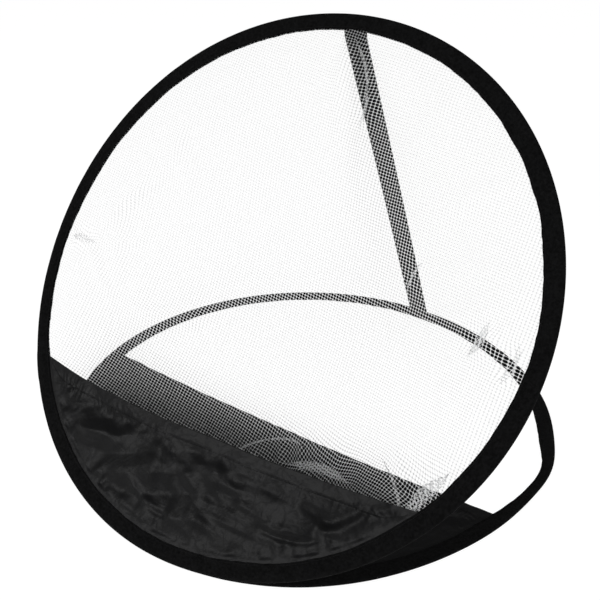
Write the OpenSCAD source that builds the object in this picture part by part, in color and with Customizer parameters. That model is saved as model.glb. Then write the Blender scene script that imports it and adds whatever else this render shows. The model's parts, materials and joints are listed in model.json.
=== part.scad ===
// Pop-up golf chipping net: two sleeved spring hoops, a net pocket, two aprons and a strap.
// Millimetres, +Z up. The origin is under the middle of the object, on the ground.
// X runs along the hinge between the hoops, and the player stands on the -Y side.

/* [Hoops] */
// Outer diameter of each sleeved hoop
hoop_d = 510; // [400:5:700]
// Angle between the open front hoop and the ground
open_angle = 51; // [40:1:65]
// Sideways distance between the centres of the two hoops, as they are sewn together
hoop_stagger = 20; // [0:1:40]
// Distance between the hinge line and each hoop's face
hinge_lift = 0.15; // [0.1:0.05:0.5]
// How far the front hoop's edge hangs below the hinge line, in front of the base hoop
front_drop = 5; // [0:0.5:6]

/* [Sleeve] */
// Width of the flat sleeve, from its outer to its inner edge
sleeve_w = 15.5; // [13:0.5:24]
// Thickness of the sleeve where it holds the wire
sleeve_t = 5.6; // [5.4:0.1:9]
// Thickness of the sleeve at its sewn inner edge
lip_t = 3.6; // [3.4:0.1:5.2]
// Width of the flat band on the sleeve, over the wire
band_w = 4; // [3:0.5:6]
// Rounding of the sleeve's outer corners
round_r = 2; // [1:0.25:3]
// Thickness of the sleeve cloth outside the wire
cloth_t = 0.7; // [0.4:0.1:1.2]
// Depth of the slot between the lips, which holds the cloth edges
slot_d = 4; // [3:0.5:6]

/* [Wire] */
// Width of the flat spring strip, across the hoop's plane
wire_w = 3; // [2:0.1:3.2]
// Thickness of the flat spring strip
wire_t = 1; // [0.6:0.1:1.4]
// Length of the ferrule that joins the strip's ends
ferrule_l = 32; // [20:1:60]
// Wall of the ferrule
ferrule_wall = 0.5; // [0.4:0.05:0.6]
// Gap between the strip's two ends, inside the ferrule
wire_split = 1; // [0.5:0.5:3]
// Angle of the ferrules round the hoops, from the right-hand side
ferrule_at = 215; // [190:1:245]

/* [Aprons] */
// Height of the front apron at its middle, from the hoop's outer edge
front_apron_h = 112; // [80:1:160]
// How far the front apron's top edge rises towards its ends
front_apron_rise = 10; // [0:1:15]
// Depth of the base apron, from the hoop's outer edge to its straight rear edge
base_apron_h = 211; // [150:1:240]
// Thickness of the apron cloth
apron_t = 0.8; // [0.6:0.1:0.9]
// Depth of the apron's folds
fold_d = 2.4; // [0:0.2:3]
// Width of the hem along each apron's straight edge
hem_w = 13; // [8:1:20]
// Extra thickness of the hem
hem_t = 0.8; // [0.4:0.1:1.2]

/* [Net] */
// Thickness of the net
net_t = 0.8; // [0.6:0.1:0.9]
// Width of the net's strands
strand_w = 3; // [2:0.25:5]
// Rings of gaps round the middle gap of the net
net_rings = 7; // [4:1:8]
// How deep the slack net bags behind the hoop
bag_d = 65; // [10:1:80]
// Share by which the bag is deeper at the bottom and shallower at the top
bag_low = 0.95; // [0:0.05:1]

/* [Strap] */
// Width of the strap's webbing
strap_w = 25; // [15:1:38]
// Sideways place of the strap
strap_x = 6; // [-8:0.5:8]
// Thickness of the webbing
strap_t = 1.4; // [1:0.1:2]

/* [Hinge tape] */
// Length of the tape along the hinge
tape_l = 60; // [30:1:90]
// Width of each leg of the tape
tape_w = 9; // [6:0.5:9.5]
// Thickness of the tape
tape_t = 0.8; // [0.5:0.1:1.2]

/* [Fits] */
// Gap between sewn cloth and what it lies on
seam_gap = 0.2; // [0.15:0.05:0.3]
// Gap between the strip and its ferrule
crimp_gap = 0.1; // [0.05:0.01:0.15]

/* [Hidden] */
hoop_r = hoop_d / 2;
inner_r = hoop_r - sleeve_w;
rim_r = inner_r + slot_d - seam_gap;
mid_t = sleeve_t / 2;
flat_r = hoop_r - round_r - band_w;

// The wire's channel is as large as the ferrule with a gap all round.
ferrule_t = wire_t + 2 * (crimp_gap + ferrule_wall);
ferrule_w = wire_w + 2 * (crimp_gap + ferrule_wall);
channel_r = hoop_r - cloth_t;
channel_t = ferrule_t + 2 * crimp_gap;
channel_w = ferrule_w + 2 * crimp_gap;
wire_r = channel_r - crimp_gap - ferrule_wall - crimp_gap;
ferrule_r = channel_r - crimp_gap;

// The slot between the lips holds the net at the back and the apron at the front.
slot_w = net_t + apron_t + 3 * seam_gap;
net_back = -slot_w / 2 + seam_gap;
apron_back = net_back + net_t + seam_gap;

// The front hoop's outer edge overhangs the base hoop's, and the origin allows for it.
overhang = front_drop * cos(open_angle)
    + (hinge_lift + sleeve_t - round_r) * sin(open_angle) + round_r * (1 - cos(open_angle));
mid_y = overhang / 2;
hinge_y = mid_y - hoop_r;
hinge_z = sleeve_t + hinge_lift;
base_x = -hoop_stagger / 2;
front_x = hoop_stagger / 2;

// Facets round a hoop, and steps in a quarter of a small rounding.
SMOOTH = 144;
ROUND_STEPS = 4;
// How far a cutting shape runs past what it cuts.
CUT = 1;
// Grid of an apron, and what is trimmed off the two points of its cloth.
APRON_COLS = 26;
APRON_ROWS = 7;
END_TRIM = 3;
// Width over which the hem steps down to the single cloth.
HEM_STEP = 1;
// How far from the lips the cloth is free to move, and how far from there its folds are full.
FREE_FROM = 4;
FOLD_FADE = 20;
free_r = inner_r - FREE_FROM;
// The two waves that make an apron's folds: share, then degrees per millimetre along X and Y.
FOLD_WAVES = [[0.6, 4.1, 2.3], [0.4, 1.7, -5.2]];
// The bag's depth ripples round the rim: share of the depth, and number of ripples.
RIPPLE = 0.03;
RIPPLES = 9;

// Angle of an arc of length l at radius r.
function arc_angle(l, r) = l / r * 180 / PI;

// Half the width of a circle of radius r at distance d from its middle.
function half_width(r, d) = sqrt(max(0, r * r - d * d));

// ---------- places ----------

// Puts a shape drawn flat, with its centre at the origin, in the base hoop's middle plane.
module in_base_hoop() {
    translate([base_x, mid_y, mid_t])
        children();
}

// Puts the same in the middle plane of the open front hoop.
module in_front_hoop() {
    translate([front_x, hinge_y, hinge_z])
        rotate([open_angle, 0, 0])
            translate([0, hoop_r - front_drop, hinge_lift + mid_t])
                children();
}

// ---------- hoops ----------

// Points of a quarter circle round centre c, from angle a0.
function corner(c, r, a0) = [
    for (i = [0:ROUND_STEPS])
        let (a = a0 + 90 * i / ROUND_STEPS)
        c + r * [cos(a), sin(a)]
];

// Half of the sleeve's outline is a taper from the lip to a flat band and a round outer corner.
function sleeve_outline() = concat(
    [[inner_r, -lip_t / 2], [flat_r, -mid_t]],
    corner([hoop_r - round_r, -mid_t + round_r], round_r, -90),
    corner([hoop_r - round_r, mid_t - round_r], round_r, 0),
    [[flat_r, mid_t], [inner_r, lip_t / 2]]
);

module sleeve() {
    rotate_extrude($fn = SMOOTH)
        difference() {
            polygon(sleeve_outline());
            translate([channel_r - channel_t, -channel_w / 2])
                square([channel_t, channel_w]);
            translate([inner_r - CUT, -slot_w / 2])
                square([slot_d + CUT, slot_w]);
        }
}

module wire() {
    split_a = arc_angle(wire_split, wire_r);
    rotate([0, 0, ferrule_at + split_a / 2])
        rotate_extrude(angle = 360 - split_a, $fn = SMOOTH)
            translate([wire_r - wire_t, -wire_w / 2])
                square([wire_t, wire_w]);
}

module ferrule() {
    ferrule_a = arc_angle(ferrule_l, ferrule_r);
    rotate([0, 0, ferrule_at - ferrule_a / 2])
        rotate_extrude(angle = ferrule_a, $fn = SMOOTH)
            difference() {
                translate([ferrule_r - ferrule_t, -ferrule_w / 2])
                    square([ferrule_t, ferrule_w]);
                translate([ferrule_r - ferrule_t + ferrule_wall, -ferrule_w / 2 + ferrule_wall])
                    square([ferrule_t - 2 * ferrule_wall, ferrule_w - 2 * ferrule_wall]);
            }
}

// ---------- cloth ----------

// A closed sheet between two grids of points, each with cols + 1 by rows + 1 points.
module sheet(front, back, cols, rows) {
    n = (cols + 1) * (rows + 1);
    function at(i, j) = i * (rows + 1) + j;
    function quad(a, b, c, d) = [[a, b, c], [a, c, d]];
    faces = [
        for (i = [0:cols - 1], j = [0:rows - 1])
            each quad(at(i, j), at(i, j + 1), at(i + 1, j + 1), at(i + 1, j)),
        for (i = [0:cols - 1], j = [0:rows - 1])
            each quad(n + at(i, j), n + at(i + 1, j), n + at(i + 1, j + 1), n + at(i, j + 1)),
        for (i = [0:cols - 1])
            each quad(at(i, 0), at(i + 1, 0), n + at(i + 1, 0), n + at(i, 0)),
        for (i = [0:cols - 1])
            each quad(at(i, rows), n + at(i, rows), n + at(i + 1, rows), at(i + 1, rows)),
        for (j = [0:rows - 1])
            each quad(at(0, j), n + at(0, j), n + at(0, j + 1), at(0, j + 1)),
        for (j = [0:rows - 1])
            each quad(at(cols, j), at(cols, j + 1), n + at(cols, j + 1), n + at(cols, j))
    ];
    polyhedron(concat(front, back), faces);
}

function clamp(t) = max(0, min(1, t));

// Height of the folds where the two waves cross, from -1 to 1.
function crumple(x, y) =
    let (waves = [for (w = FOLD_WAVES) w[0] * sin(w[1] * x + w[2] * y)])
    waves[0] + waves[1];

// Share of the folds that is left at radius r and at distance h from the straight edge's hem.
function slack(r, h) = clamp((free_r - r) / FOLD_FADE) * clamp(h / hem_w);

// An apron fills the bottom of a hoop up to a straight edge at the given height.
// Its hem is the first row, with a step in thickness, and lift is where its back face lies.
// The last row lies flat between the lips, and the folds start above it.
module apron(height, rise, lift) {
    edge_y = height - hoop_r;
    half_chord = half_width(rim_r, edge_y + rise) - END_TRIM;
    function top(x) = edge_y + rise * (x / half_chord) * (x / half_chord);
    function bottom(x) = -half_width(rim_r, x);
    function fall(x, j) =
        let (
            long = top(x) - bottom(x),
            hem = min(hem_w, long / 3),
            below = min(hem + HEM_STEP, long / 2),
            held = half_width(rim_r, x) - half_width(free_r, x),
            last = max(long - held, long - (long - below) / (APRON_ROWS - 2))
        )
        j < 2 ? j * hem
        : j == APRON_ROWS ? long
        : below + (last - below) * (j - 2) / (APRON_ROWS - 3);
    function node_at(i, j) =
        let (x = half_chord * sin(90 * (2 * i / APRON_COLS - 1)))
        [x, top(x) - fall(x, j), fall(x, j)];
    function fold(p) = fold_d * slack(norm([p.x, p.y]), p.z - hem_w) * crumple(p.x, p.y);
    function hem(p, j) = j < 2 ? hem_t * slack(norm([p.x, p.y]), hem_w) : 0;
    grid = [for (i = [0:APRON_COLS], j = [0:APRON_ROWS]) [node_at(i, j), j]];
    sheet(
        [for (g = grid) [g[0].x, g[0].y, lift + apron_t + fold(g[0]) + hem(g[0], g[1])]],
        [for (g = grid) [g[0].x, g[0].y, lift + fold(g[0])]],
        APRON_COLS, APRON_ROWS
    );
}

// ---------- net ----------
// The gaps lie on a honeycomb whose six-sided rings are spread into round ones.
// Cell (q, r) has two corners of its own, 0 and 1, and shares the other four with its neighbours.

NEXT = [[0, 1], [-1, 1], [-1, 0], [0, -1], [1, -1], [1, 0]];
CORNERS = [[0, 0, 0], [-1, 1, 1], [-1, 0, 0], [-1, 0, 1], [0, -1, 0], [0, 0, 1]];
span = 2 * net_rings + 3;
ring_pitch = free_r / (net_rings + 1 / 2);

function in_net(q, r) = max(abs(q), abs(r), abs(q + r)) <= net_rings;
function cell_xy(q, r) = [q + r / 2, r * sqrt(3) / 2];
function corner_xy(q, r, k) = cell_xy(q, r) + [0.5, (k == 0 ? 1 : -1) / sqrt(12)];

// How many rings out a point of the honeycomb is, by its six-sided distance.
function ring_of(p) = max([for (a = [30, 90, 150]) abs(p.x * cos(a) + p.y * sin(a))]) / cos(30);
// A corner lies a third or two thirds of a ring further out than the middle of its cell.
function is_edge(p) = ring_of(p) > net_rings + 1 / 4;
function spread(p) =
    let (h = ring_of(p))
    h == 0 ? [0, 0] : p / norm(p) * (is_edge(p) ? free_r : h * ring_pitch);

function bag(p) =
    let (t = norm(p) / free_r, ripple = 1 + RIPPLE * sin(RIPPLES * atan2(p.y, p.x)))
    -bag_d * max(0, 1 - t * t) * (1 - bag_low * p.y / free_r) * ripple;

function corner_id(q, r, k) = ((q + net_rings + 1) * span + (r + net_rings + 1)) * 2 + k;
function id_q(id) = floor(id / 2 / span) - net_rings - 1;
function id_r(id) = floor(id / 2) % span - net_rings - 1;
function corner_used(q, r, k) = k == 0
    ? in_net(q, r) || in_net(q + 1, r) || in_net(q, r + 1)
    : in_net(q, r) || in_net(q + 1, r) || in_net(q + 1, r - 1);

module net_mesh() {
    cells = [
        for (q = [-net_rings:net_rings], r = [-net_rings:net_rings])
            if (in_net(q, r)) [q, r]
    ];
    ids = [
        for (id = [0:span * span * 2 - 1])
            if (corner_used(id_q(id), id_r(id), id % 2)) id
    ];
    corners = [for (id = ids) corner_xy(id_q(id), id_r(id), id % 2)];
    edge_ids = [for (i = [0:len(ids) - 1]) if (is_edge(corners[i])) ids[i]];
    edge_corners = [for (c = corners) if (is_edge(c)) c];
    gap_share = 1 - strand_w / ring_pitch;

    knots = [for (c = corners) spread(c)];
    rims = [for (c = edge_corners) spread(c) / free_r * rim_r];
    gap_points = [
        for (c = cells)
            let (mid = spread(cell_xy(c.x, c.y)))
            for (k = [0:5])
                let (o = CORNERS[k], p = spread(corner_xy(c.x + o[0], c.y + o[1], o[2])))
                mid + (p - mid) * gap_share
    ];
    flat_points = concat(knots, rims, gap_points);
    n = len(flat_points);
    rim_0 = len(knots);
    gap_0 = rim_0 + len(rims);

    function knot(c, k) =
        let (o = CORNERS[k % 6])
        search(corner_id(c.x + o[0], c.y + o[1], o[2]), ids)[0];
    function rim(c, k) =
        let (o = CORNERS[k % 6])
        rim_0 + search(corner_id(c.x + o[0], c.y + o[1], o[2]), edge_ids)[0];
    function quad(a, b, c, d) = [[a, b, c], [a, c, d]];
    // The front of a strip a, b, c, d, and its back, which is n points on.
    function both(a, b, c, d) = concat(quad(d, c, b, a), quad(n + a, n + b, n + c, n + d));
    // The wall under an edge from a to b.
    function wall(a, b) = quad(a, b, n + b, n + a);

    faces = [
        for (i = [0:len(cells) - 1], k = [0:5])
            let (
                c = cells[i],
                a = knot(c, k),
                b = knot(c, k + 1),
                g = gap_0 + 6 * i + k,
                h = gap_0 + 6 * i + (k + 1) % 6,
                beyond = c + NEXT[k],
                outside = !in_net(beyond.x, beyond.y)
            )
            each concat(
                both(a, b, h, g),
                wall(h, g),
                outside ? both(rim(c, k), rim(c, k + 1), b, a) : [],
                outside ? wall(rim(c, k), rim(c, k + 1)) : []
            )
    ];
    polyhedron(
        concat(
            [for (p = flat_points) [p.x, p.y, net_back + net_t + bag(p)]],
            [for (p = flat_points) [p.x, p.y, net_back + bag(p)]]
        ),
        faces
    );
}

// ---------- strap and tape ----------

// Points in the side view: Y and Z of a point at height v and normal distance n on the front hoop.
function on_front(v, n) = [
    hinge_y + v * cos(open_angle) - n * sin(open_angle),
    hinge_z + v * sin(open_angle) + n * cos(open_angle)
];

// The other face of a strip of thickness t, on the right of a path, mitred where the path bends.
function right_of(a, b) = [b[1] - a[1], a[0] - b[0]] / norm(b - a);
function other_face(path, t) = [
    for (i = [0:len(path) - 1])
        let (
            into = right_of(path[max(i - 1, 0)], path[max(i, 1)]),
            out = right_of(path[min(i, len(path) - 2)], path[min(i + 1, len(path) - 1)])
        )
        path[i] + t * (into + out) / (1 + into * out)
];

// The strap is straight between its two sewn ends, which lie flat on the sleeves.
module strap_side() {
    low = sleeve_t + 2 * seam_gap;
    back = hinge_lift - 2 * seam_gap;
    head = 2 * hoop_r - front_drop;
    face = [
        [mid_y + hoop_r - round_r, low],
        [mid_y + inner_r, low],
        on_front(head - sleeve_w, back),
        on_front(head - round_r, back)
    ];
    far = other_face(face, strap_t);
    polygon(concat(face, [for (i = [len(far) - 1:-1:0]) far[i]]));
}

// A shape drawn in the side view, with Y to the right and Z up, as a bar of width w across X.
module across(w) {
    rotate([90, 0, 90])
        linear_extrude(w, center = true)
            children();
}

// Two legs that lie on the facing sides of the hoops, drawn from the hinge line.
module tape_side() {
    function inside(d) = d / sin(open_angle / 2) * [cos(open_angle / 2), sin(open_angle / 2)];
    function up(v, d) = [
        v * cos(open_angle) + d * sin(open_angle),
        v * sin(open_angle) - d * cos(open_angle)
    ];
    far = seam_gap + tape_t;
    polygon([
        inside(seam_gap),
        [tape_w, seam_gap],
        [tape_w, far],
        inside(far),
        up(tape_w, far),
        up(tape_w, seam_gap)
    ]);
}

// ---------- sub-parts ----------

module base_wire() {
    color("lightsteelblue")
        in_base_hoop()
            wire();
}

module base_ferrule() {
    color("silver")
        in_base_hoop()
            ferrule();
}

module base_sleeve() {
    color([0.09, 0.09, 0.09])
        in_base_hoop()
            sleeve();
}

module base_apron() {
    color([0.16, 0.16, 0.16])
        in_base_hoop()
            apron(base_apron_h, 0, -apron_t / 2);
}

module hinge_tape() {
    color([0.12, 0.12, 0.12])
        translate([0, hinge_y, hinge_z])
            across(tape_l)
                tape_side();
}

module strap() {
    color([0.11, 0.11, 0.11])
        translate([strap_x, 0, 0])
            across(strap_w)
                strap_side();
}

module front_wire() {
    color("lightsteelblue")
        in_front_hoop()
            wire();
}

module front_ferrule() {
    color("silver")
        in_front_hoop()
            ferrule();
}

module front_sleeve() {
    color([0.09, 0.09, 0.09])
        in_front_hoop()
            sleeve();
}

module front_apron() {
    color([0.16, 0.16, 0.16])
        in_front_hoop()
            apron(front_apron_h, front_apron_rise, apron_back);
}

module net() {
    color([0.96, 0.96, 0.96])
        in_front_hoop()
            net_mesh();
}

base_wire();
base_ferrule();
base_sleeve();
base_apron();
hinge_tape();
strap();
front_wire();
front_ferrule();
front_sleeve();
front_apron();
net();
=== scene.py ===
import json
from math import copysign, cos, hypot, pi, radians, sin, sqrt, tan

import bpy
import numpy as np
from bpy.props import FloatProperty, FloatVectorProperty, IntProperty, PointerProperty
from bpy.types import Operator, Panel, PropertyGroup
from mathutils import Matrix, Vector


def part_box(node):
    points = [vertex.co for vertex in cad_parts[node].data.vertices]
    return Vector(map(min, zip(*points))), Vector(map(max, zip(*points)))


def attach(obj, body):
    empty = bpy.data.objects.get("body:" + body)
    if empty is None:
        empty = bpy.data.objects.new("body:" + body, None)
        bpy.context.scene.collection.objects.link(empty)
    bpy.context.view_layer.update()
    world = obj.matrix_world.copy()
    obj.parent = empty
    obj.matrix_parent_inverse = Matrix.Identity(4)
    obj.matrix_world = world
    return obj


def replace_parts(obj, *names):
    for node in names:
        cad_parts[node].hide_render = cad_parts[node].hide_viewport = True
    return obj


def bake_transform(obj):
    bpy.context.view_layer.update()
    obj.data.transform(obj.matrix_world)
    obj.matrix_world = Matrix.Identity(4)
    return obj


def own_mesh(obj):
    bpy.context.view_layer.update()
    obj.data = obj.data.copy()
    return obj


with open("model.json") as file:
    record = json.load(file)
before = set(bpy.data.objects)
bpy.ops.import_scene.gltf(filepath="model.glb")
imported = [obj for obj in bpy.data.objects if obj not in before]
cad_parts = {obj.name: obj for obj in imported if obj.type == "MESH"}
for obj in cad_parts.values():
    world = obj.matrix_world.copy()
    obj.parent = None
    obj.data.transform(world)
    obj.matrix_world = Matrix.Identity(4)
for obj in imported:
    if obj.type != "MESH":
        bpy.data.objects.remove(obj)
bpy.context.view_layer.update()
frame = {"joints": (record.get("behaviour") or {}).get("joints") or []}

bl_info = {
    "name": "Pop-up Chipping Net",
    "version": (1, 0, 0),
    "blender": (4, 5, 0),
    "location": "View3D > Sidebar > Chipping Net",
    "description": "Builds a pop-up golf chipping net: two bound hoops, a net pocket, aprons and a strap",
    "category": "Add Mesh",
}

MM = 0.001

# ---------- what the frame gives ----------

JOINT = frame["joints"][0]
HINGE = Vector(JOINT["pos_m"])
OPEN_ANGLE = radians(JOINT["range_deg"][1])
BASE_LO, BASE_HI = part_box("base_sleeve")
FRONT_LO, FRONT_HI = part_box("front_sleeve")
HOOP_R = (BASE_HI.x - BASE_LO.x) / 2
BASE_CENTRE = (BASE_LO + BASE_HI) / 2
FRONT_CENTRE = (FRONT_LO + FRONT_HI) / 2
UP_HOOP = Vector((0, cos(OPEN_ANGLE), sin(OPEN_ANGLE)))
OFF_HOOP = Vector((0, -sin(OPEN_ANGLE), cos(OPEN_ANGLE)))


# ---------- sizes and colours ----------

def length(name, default, text):
    return FloatProperty(name=name, description=text, default=default, unit="LENGTH", precision=4)


def angle(name, degrees, text):
    return FloatProperty(name=name, description=text, default=radians(degrees), subtype="ANGLE")


def number(name, default, text, **settings):
    return FloatProperty(name=name, description=text, default=default, min=0, **settings)


def colour(name, default, text):
    return FloatVectorProperty(
        name=name, description=text, default=default, size=3, min=0, max=1, subtype="COLOR"
    )


class HoopShape(PropertyGroup):
    oval: length("Oval", 0.00107, "How far the hoop is pulled into an oval")
    oval_at: angle("Oval at", 72.3, "Direction of the oval's long side")
    three_lobes: length("Three lobes", 0.00157, "How far the hoop bows out in three places")
    three_at: angle("Three lobes at", -4.8, "Direction of the first of the three")
    four_lobes: length("Four lobes", 0.00061, "How far the hoop bows out in four places")
    four_at: angle("Four lobes at", -27.3, "Direction of the first of the four")
    warp: length("Warp", 0.0008, "How far the hoop is twisted out of its plane")
    warp_at: angle("Warp at", 80, "Direction of the warp's high side")
    ripple: length("Ripple", 0.0009, "How far the hoop rises out of its plane in three places")
    ripple_at: angle("Ripple at", 3, "Direction of the first of the three")
    uneven: length("Uneven binding", 0.0008, "How much wider the binding is sewn on one side")
    uneven_at: angle("Uneven binding at", 30, "Direction in which the binding is widest")


class BindingSizes(PropertyGroup):
    width: length("Width", 0.0155, "Width of the folded binding")
    thick: length("Thickness", 0.0049, "Thickness of the binding where it holds the spring")
    cloth: length("Cloth", 0.0005, "Thickness of the binding cloth")
    seam_in: length("Seam", 0.0026, "Distance of the seam from the binding's lips")
    seam_dip: length("Seam dip", 0.00018, "How far the thread pulls the cloth in")
    stitch: length("Stitch", 0.0027, "Length of a stitch in the binding")
    waviness: length("Waviness", 0.0005, "How far the lips wander from a true circle")


class NetSizes(PropertyGroup):
    across: length("Hole spacing across", 0.0030, "Distance between holes along a row")
    down: length("Hole spacing down", 0.00266, "Distance between rows of holes")
    thread: length("Thread", 0.00030, "Width of the threads between the holes")
    knot: length("Knot", 0.00065, "How far the threads fill the corners of a hole")
    row_tilt: angle("Row tilt", 9, "How far the rows of holes run downhill")
    depth: length("Bag depth", 0.065, "How deep the slack net bags behind the hoop")
    low: number("Bag low", 0.95, "Share by which the bag is deeper at the bottom", max=1, subtype="FACTOR")
    rim: length("Flat rim", 0.012, "Width over which the net stays level inside the binding")
    folds: number("Folds", 1, "Strength of the folds in the slack net", max=2)


class ApronSizes(PropertyGroup):
    front_height: length("Front apron", 0.1118, "Height of the front apron at its middle")
    front_rise: length("Front rise", 0.0105, "How far the front apron's edge rises to its ends")
    base_depth: length("Base apron", 0.2062, "Depth of the base apron at its middle")
    base_rise: length("Base rise", 0.0062, "How far the base apron's edge rises to its ends")
    base_slant: angle("Base slant", -1.9, "How far the base apron's edge is off square")
    cloth: length("Cloth", 0.0004, "Thickness of the apron cloth")
    hem: length("Hem", 0.013, "Width of the turned hem")
    crumple: length("Crumple", 0.0026, "Depth of the creases")
    stitch: length("Stitch", 0.0031, "Length of a stitch in the hems")
    pucker: length("Pucker", 0.0013, "Depth of the puckers along a hem")


class StrapSizes(PropertyGroup):
    width: length("Width", 0.0238, "Width of the webbing")
    thick: length("Thickness", 0.0014, "Thickness of the webbing")
    tape_length: length("Hinge tape", 0.060, "Length of the tape between the hoops")
    tape_width: length("Tape leg", 0.009, "Width of each leg of the tape")
    tape_thick: length("Tape thickness", 0.0008, "Thickness of the tape")


class Finishes(PropertyGroup):
    binding: colour("Binding", (0.0042, 0.0042, 0.0044), "Colour of the binding")
    apron: colour("Apron", (0.0030, 0.0030, 0.0033), "Colour of the apron cloth")
    webbing: colour("Webbing", (0.0040, 0.0040, 0.0042), "Colour of the strap and tape")
    thread: colour("Thread", (0.0050, 0.0050, 0.0053), "Colour of the sewing thread")
    net: colour("Net", (0.80, 0.805, 0.81), "Colour of the net")
    spring: colour("Spring steel", (0.20, 0.21, 0.23), "Colour of the blued spring strip")
    ferrule: colour("Ferrule", (0.56, 0.56, 0.55), "Colour of the plated ferrules")


class StageSizes(PropertyGroup):
    key: number("Key lamp", 22, "Power of the large lamp", unit="POWER")
    fill: number("Fill lamp", 8, "Power of the fill lamp", unit="POWER")
    room: number("Room light", 0.34, "Strength of the even light from all round")
    seed: IntProperty(name="Seed", description="Seed of everything that is irregular", default=7, min=0)


class ChippingNet(PropertyGroup):
    front_hoop: PointerProperty(type=HoopShape)
    base_hoop: PointerProperty(type=HoopShape)
    binding: PointerProperty(type=BindingSizes)
    net: PointerProperty(type=NetSizes)
    apron: PointerProperty(type=ApronSizes)
    strap: PointerProperty(type=StrapSizes)
    finish: PointerProperty(type=Finishes)
    stage: PointerProperty(type=StageSizes)


def sizes():
    return bpy.context.scene.chipping_net


# ---------- irregularity ----------

def step(x, a, b):
    t = np.clip((x - a) / (b - a), 0, 1)
    return t * t * (3 - 2 * t)


def soft_noise(x, y, seed):
    """Smooth noise from -1 to 1, with one random value for each unit square."""
    cells = 64
    values = np.random.default_rng(seed).uniform(-1, 1, (cells, cells))
    i, j = np.floor(x).astype(int), np.floor(y).astype(int)
    u, v = step(x - i, 0, 1), step(y - j, 0, 1)

    def at(a, b):
        return values[(i + a) % cells, (j + b) % cells]

    return (at(0, 0) * (1 - u) + at(1, 0) * u) * (1 - v) + (at(0, 1) * (1 - u) + at(1, 1) * u) * v


def creases(x, y, seed, count, pitch):
    """Crumpled cloth: flat facets between sharp ridges, from about -1 to 1. Pitch is the size of a facet."""
    rng = np.random.default_rng(seed)
    total = np.zeros(np.broadcast(x, y).shape)
    for k in range(count):
        turn = rng.uniform(0, pi)
        size = pitch * rng.uniform(0.6, 1.7)
        bend = soft_noise(x / (3 * pitch) + 7 * k, y / (3 * pitch), seed + k)
        t = (x * cos(turn) + y * sin(turn)) / size + 0.8 * bend + rng.uniform(0, 1)
        where = soft_noise(x / (2.2 * pitch) + 3 * k, y / (2.2 * pitch) + 11, seed + 50 + k)
        total += (4 * np.abs(t - np.floor(t) - 0.5) - 1) * np.clip(0.35 + where, 0, 1)
    return total / sqrt(count)


def on_line(x, y, x0, y0, x1, y1):
    """The length and direction of a line in the hoop's plane, and where points lie by it.

    That is how far along it, as a share of its length, and how far to its left.
    """
    run = hypot(x1 - x0, y1 - y0)
    dx, dy = (x1 - x0) / run, (y1 - y0) / run
    return run, (dx, dy), ((x - x0) * dx + (y - y0) * dy) / run, (y - y0) * dx - (x - x0) * dy


def fading(t, before, within):
    """1 along a line and 0 beyond both its ends, with the fade this far before and within each end."""
    return step(t, -before, within) * step(-t, -1 - before, -1 + within)


def ridge(x, y, fold):
    """A soft ridge of cloth between two points."""
    *ends, width, height = (v * MM for v in fold)
    run, _, t, side = on_line(x, y, *ends)
    side = side + 0.12 * run * np.sin(2.4 * t)
    return height * fading(t, 0.25, 0.3) * np.exp(-(side / width) ** 2)


def facet(x, y, fold):
    """A slope of cloth along a line, that returns on both sides of it."""
    *ends, width, height = (v * MM for v in fold)
    run, _, t, side = on_line(x, y, *ends)
    side = (side + 0.08 * run * np.sin(3 * t)) / width
    return height * fading(t, 0.2, 0.15) * 1.6 * side * np.exp(-side ** 2)


# ---------- where things lie on the hoops ----------

# Where a hoop bows out: direction and width in degrees, height in millimetres.
BULGES = {
    "front": ((55, 80, 0.8), (278, 14, -1.0)),
    "base": ((-52, 25, 1.9), (-12, 13, 0.8), (8.5, 9.5, 4.3)),
}
# Where a binding is sewn wider or narrower: direction and width in degrees, change in millimetres.
SEWN = {
    "front": ((2, 15, -1.1), (93, 9, -1.0), (190, 11, -1.8), (208, 12, -1.1), (58, 24, 0.5), (128, 30, 0.5)),
    "base": ((-6, 8, -3.2), (5.5, 10, -5.7)),
}


def bumps(places, phi):
    """The sum of smooth bumps round a hoop, in metres."""
    total = np.zeros(np.shape(phi))
    for at, wide, height in places:
        off = (phi - radians(at) + pi) % (2 * pi) - pi
        total = total + height * MM * np.exp(-(off / radians(wide)) ** 2)
    return total


def on_hoop(which, r, phi, n):
    """World places of points given by radius, direction and height off the hoop's middle plane."""
    hoop = getattr(sizes(), f"{which}_hoop")
    r, phi, n = np.broadcast_arrays(np.asarray(r, float), phi, n)
    grow = np.clip(r / HOOP_R, 0, 1.2) ** 2
    out = (
        bumps(BULGES[which], phi)
        + hoop.oval * np.cos(2 * (phi - hoop.oval_at))
        + hoop.three_lobes * np.cos(3 * (phi - hoop.three_at))
        + hoop.four_lobes * np.cos(4 * (phi - hoop.four_at))
    )
    off = hoop.warp * np.cos(2 * (phi - hoop.warp_at)) + hoop.ripple * np.cos(3 * (phi - hoop.ripple_at))
    r, n = r + out * grow, n + off * grow
    x, y = r * np.cos(phi), r * np.sin(phi)
    if which == "base":
        return np.stack([BASE_CENTRE.x + x, BASE_CENTRE.y + y, sizes().binding.thick / 2 + n], -1)
    return np.stack([
        FRONT_CENTRE.x + x,
        FRONT_CENTRE.y + y * UP_HOOP.y + n * OFF_HOOP.y,
        FRONT_CENTRE.z + y * UP_HOOP.z + n * OFF_HOOP.z,
    ], -1)


# ---------- making meshes ----------

def read(items, key, kind=np.int32, width=1):
    """One value of every item of a mesh, as an array."""
    values = np.zeros(len(items) * width, kind)
    items.foreach_get(key, values)
    return values


def linked(name, data):
    obj = bpy.data.objects.new(name, data)
    bpy.context.scene.collection.objects.link(obj)
    return obj


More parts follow.
